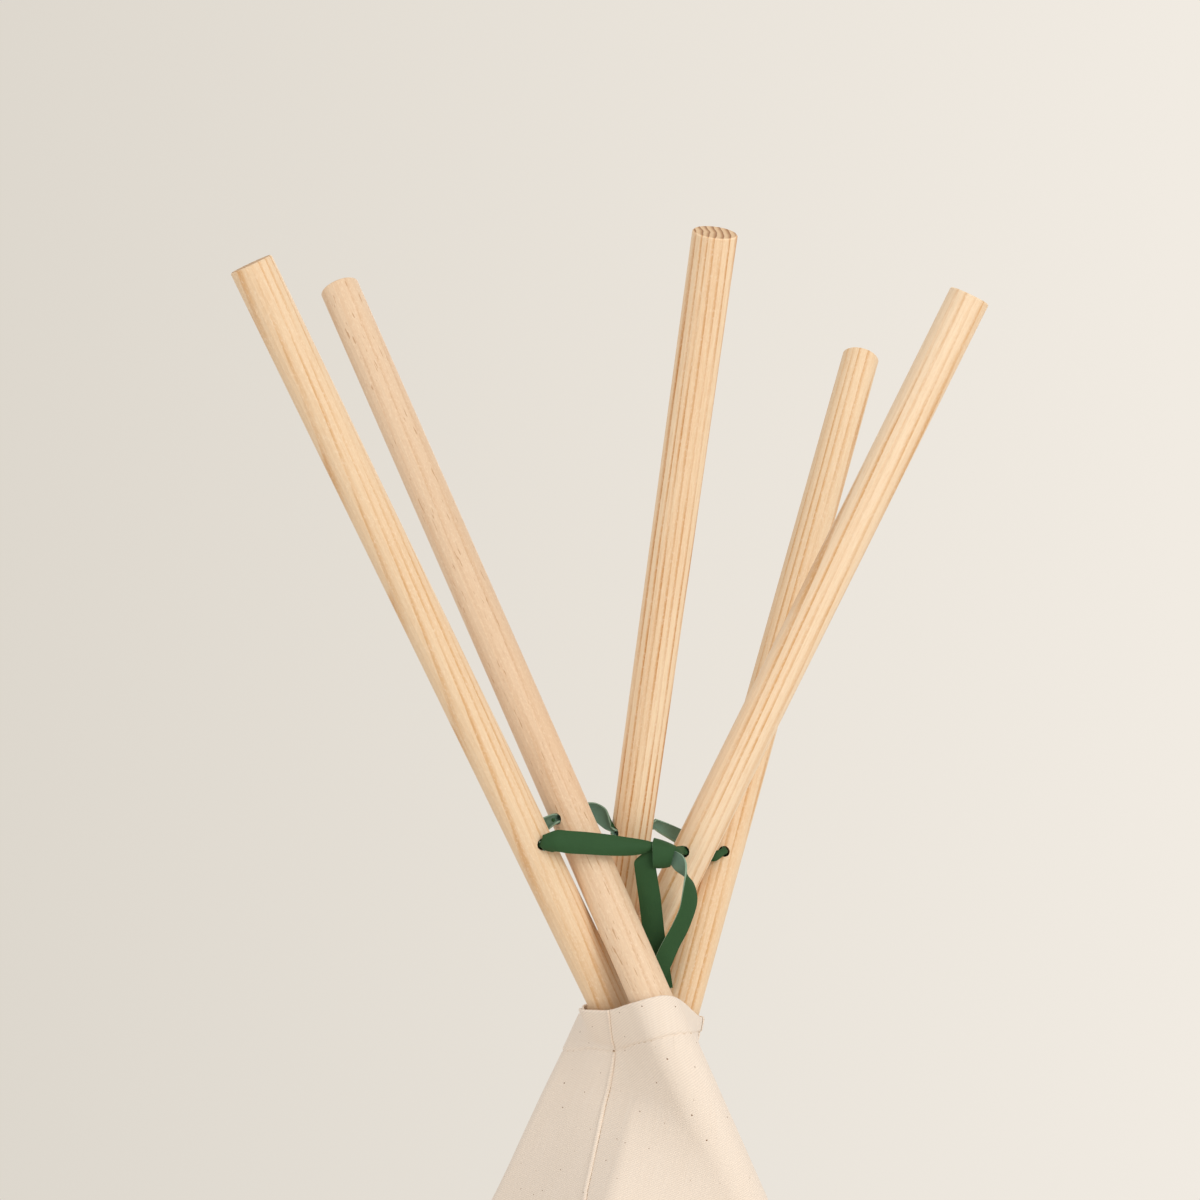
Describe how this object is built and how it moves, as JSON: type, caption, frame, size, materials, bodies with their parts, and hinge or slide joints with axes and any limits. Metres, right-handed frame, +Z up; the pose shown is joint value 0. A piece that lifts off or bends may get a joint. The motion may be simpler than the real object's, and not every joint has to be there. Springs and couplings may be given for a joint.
{
  "type": "kids teepee",
  "caption": "Free-standing children's play tent of crossed round wooden poles tied at the top by a flat strap, with a canvas cover and a doorway with two flaps.",
  "frame": {"origin": "on the floor, under the middle of the stand's outer box", "axes": "+Z up; -Y to the front, where the doorway is; +X to the right seen from the front"},
  "size_m": [1.1042, 1.124, 1.6302],
  "materials": {
    "pine_1": "bare sanded pine",
    "pine_2": "bare sanded pine",
    "pine_3": "bare sanded pine",
    "pine_4": "bare sanded pine",
    "pine_5": "bare sanded pine",
    "steel": "zinc plated",
    "canvas": "unbleached cotton twill",
    "strap": "matte"
  },
  "bodies": {
    "cover": {"front_panel": "canvas", "right_front_panel": "canvas", "right_back_panel": "canvas", "left_back_panel": "canvas", "left_front_panel": "canvas", "canvas_collar": "canvas", "tie_strap": "strap", "tie_knot": "strap", "tie_tail_left": "strap", "tie_tail_right": "strap"},
    "pole_1": {"pole_1_upper": "pine_1", "pole_1_lower": "pine_1", "pole_1_ferrule": "steel", "pole_sleeve_1": "canvas"},
    "pole_2": {"pole_2_upper": "pine_2", "pole_2_lower": "pine_2", "pole_2_ferrule": "steel", "pole_sleeve_2": "canvas"},
    "pole_3": {"pole_3_upper": "pine_3", "pole_3_lower": "pine_3", "pole_3_ferrule": "steel", "pole_sleeve_3": "canvas"},
    "pole_4": {"pole_4_upper": "pine_4", "pole_4_lower": "pine_4", "pole_4_ferrule": "steel", "pole_sleeve_4": "canvas"},
    "pole_5": {"pole_5_upper": "pine_5", "pole_5_lower": "pine_5", "pole_5_ferrule": "steel", "pole_sleeve_5": "canvas"},
    "flap_left": {"door_flap_left": "canvas"},
    "flap_right": {"door_flap_right": "canvas"}
  },
  "joints": [
    {"name": "pole_4_fold", "type": "hinge", "parent": "cover", "child": "pole_4", "pos_m": [0.12562, -0.01823, 1.21065], "axis": [0.7569, -0.6533, 0.0192], "range_deg": [0, 29.3], "deforming": ["front_panel", "right_front_panel", "right_back_panel", "left_back_panel", "left_front_panel", "canvas_collar", "tie_strap", "pole_sleeve_1", "pole_sleeve_2", "pole_sleeve_3", "pole_sleeve_4", "pole_sleeve_5"]},
    {"name": "pole_1_fold", "type": "hinge", "parent": "cover", "child": "pole_1", "pos_m": [-0.00434, -0.09689, 1.23107], "axis": [-0.551, 0.8345, 0.0027], "range_deg": [0, 28.61]},
    {"name": "pole_2_fold", "type": "hinge", "parent": "cover", "child": "pole_2", "pos_m": [0.02188, -0.07124, 1.24673], "axis": [0.5246, 0.8513, -0.003], "range_deg": [0, 25.03]},
    {"name": "pole_3_fold", "type": "hinge", "parent": "cover", "child": "pole_3", "pos_m": [0.06321, -0.05357, 1.23535], "axis": [-0.9575, -0.2883, 0.0097], "range_deg": [0, 25.43]},
    {"name": "pole_5_fold", "type": "hinge", "parent": "cover", "child": "pole_5", "pos_m": [0.10425, -0.04787, 1.2173], "axis": [-0.255, -0.9669, -0.0084], "range_deg": [0, 29.12]},
    {"name": "flap_left_swing", "type": "hinge", "parent": "cover", "child": "flap_left", "pos_m": [0.00258, -0.36221, 0.40464], "axis": [0.2124, 0.3536, 0.9109], "range_deg": [0, 166]},
    {"name": "flap_right_swing", "type": "hinge", "parent": "cover", "child": "flap_right", "pos_m": [0.21299, -0.32641, 0.40556], "axis": [0.2743, -0.2687, -0.9233], "range_deg": [0, 166]}
  ],
  "couplings": [
    {"joint": "pole_1_fold", "follows": "pole_4_fold", "ratio": 0.9762},
    {"joint": "pole_2_fold", "follows": "pole_4_fold", "ratio": 0.8538},
    {"joint": "pole_3_fold", "follows": "pole_4_fold", "ratio": 0.8676},
    {"joint": "pole_5_fold", "follows": "pole_4_fold", "ratio": 0.9934}
  ]
}
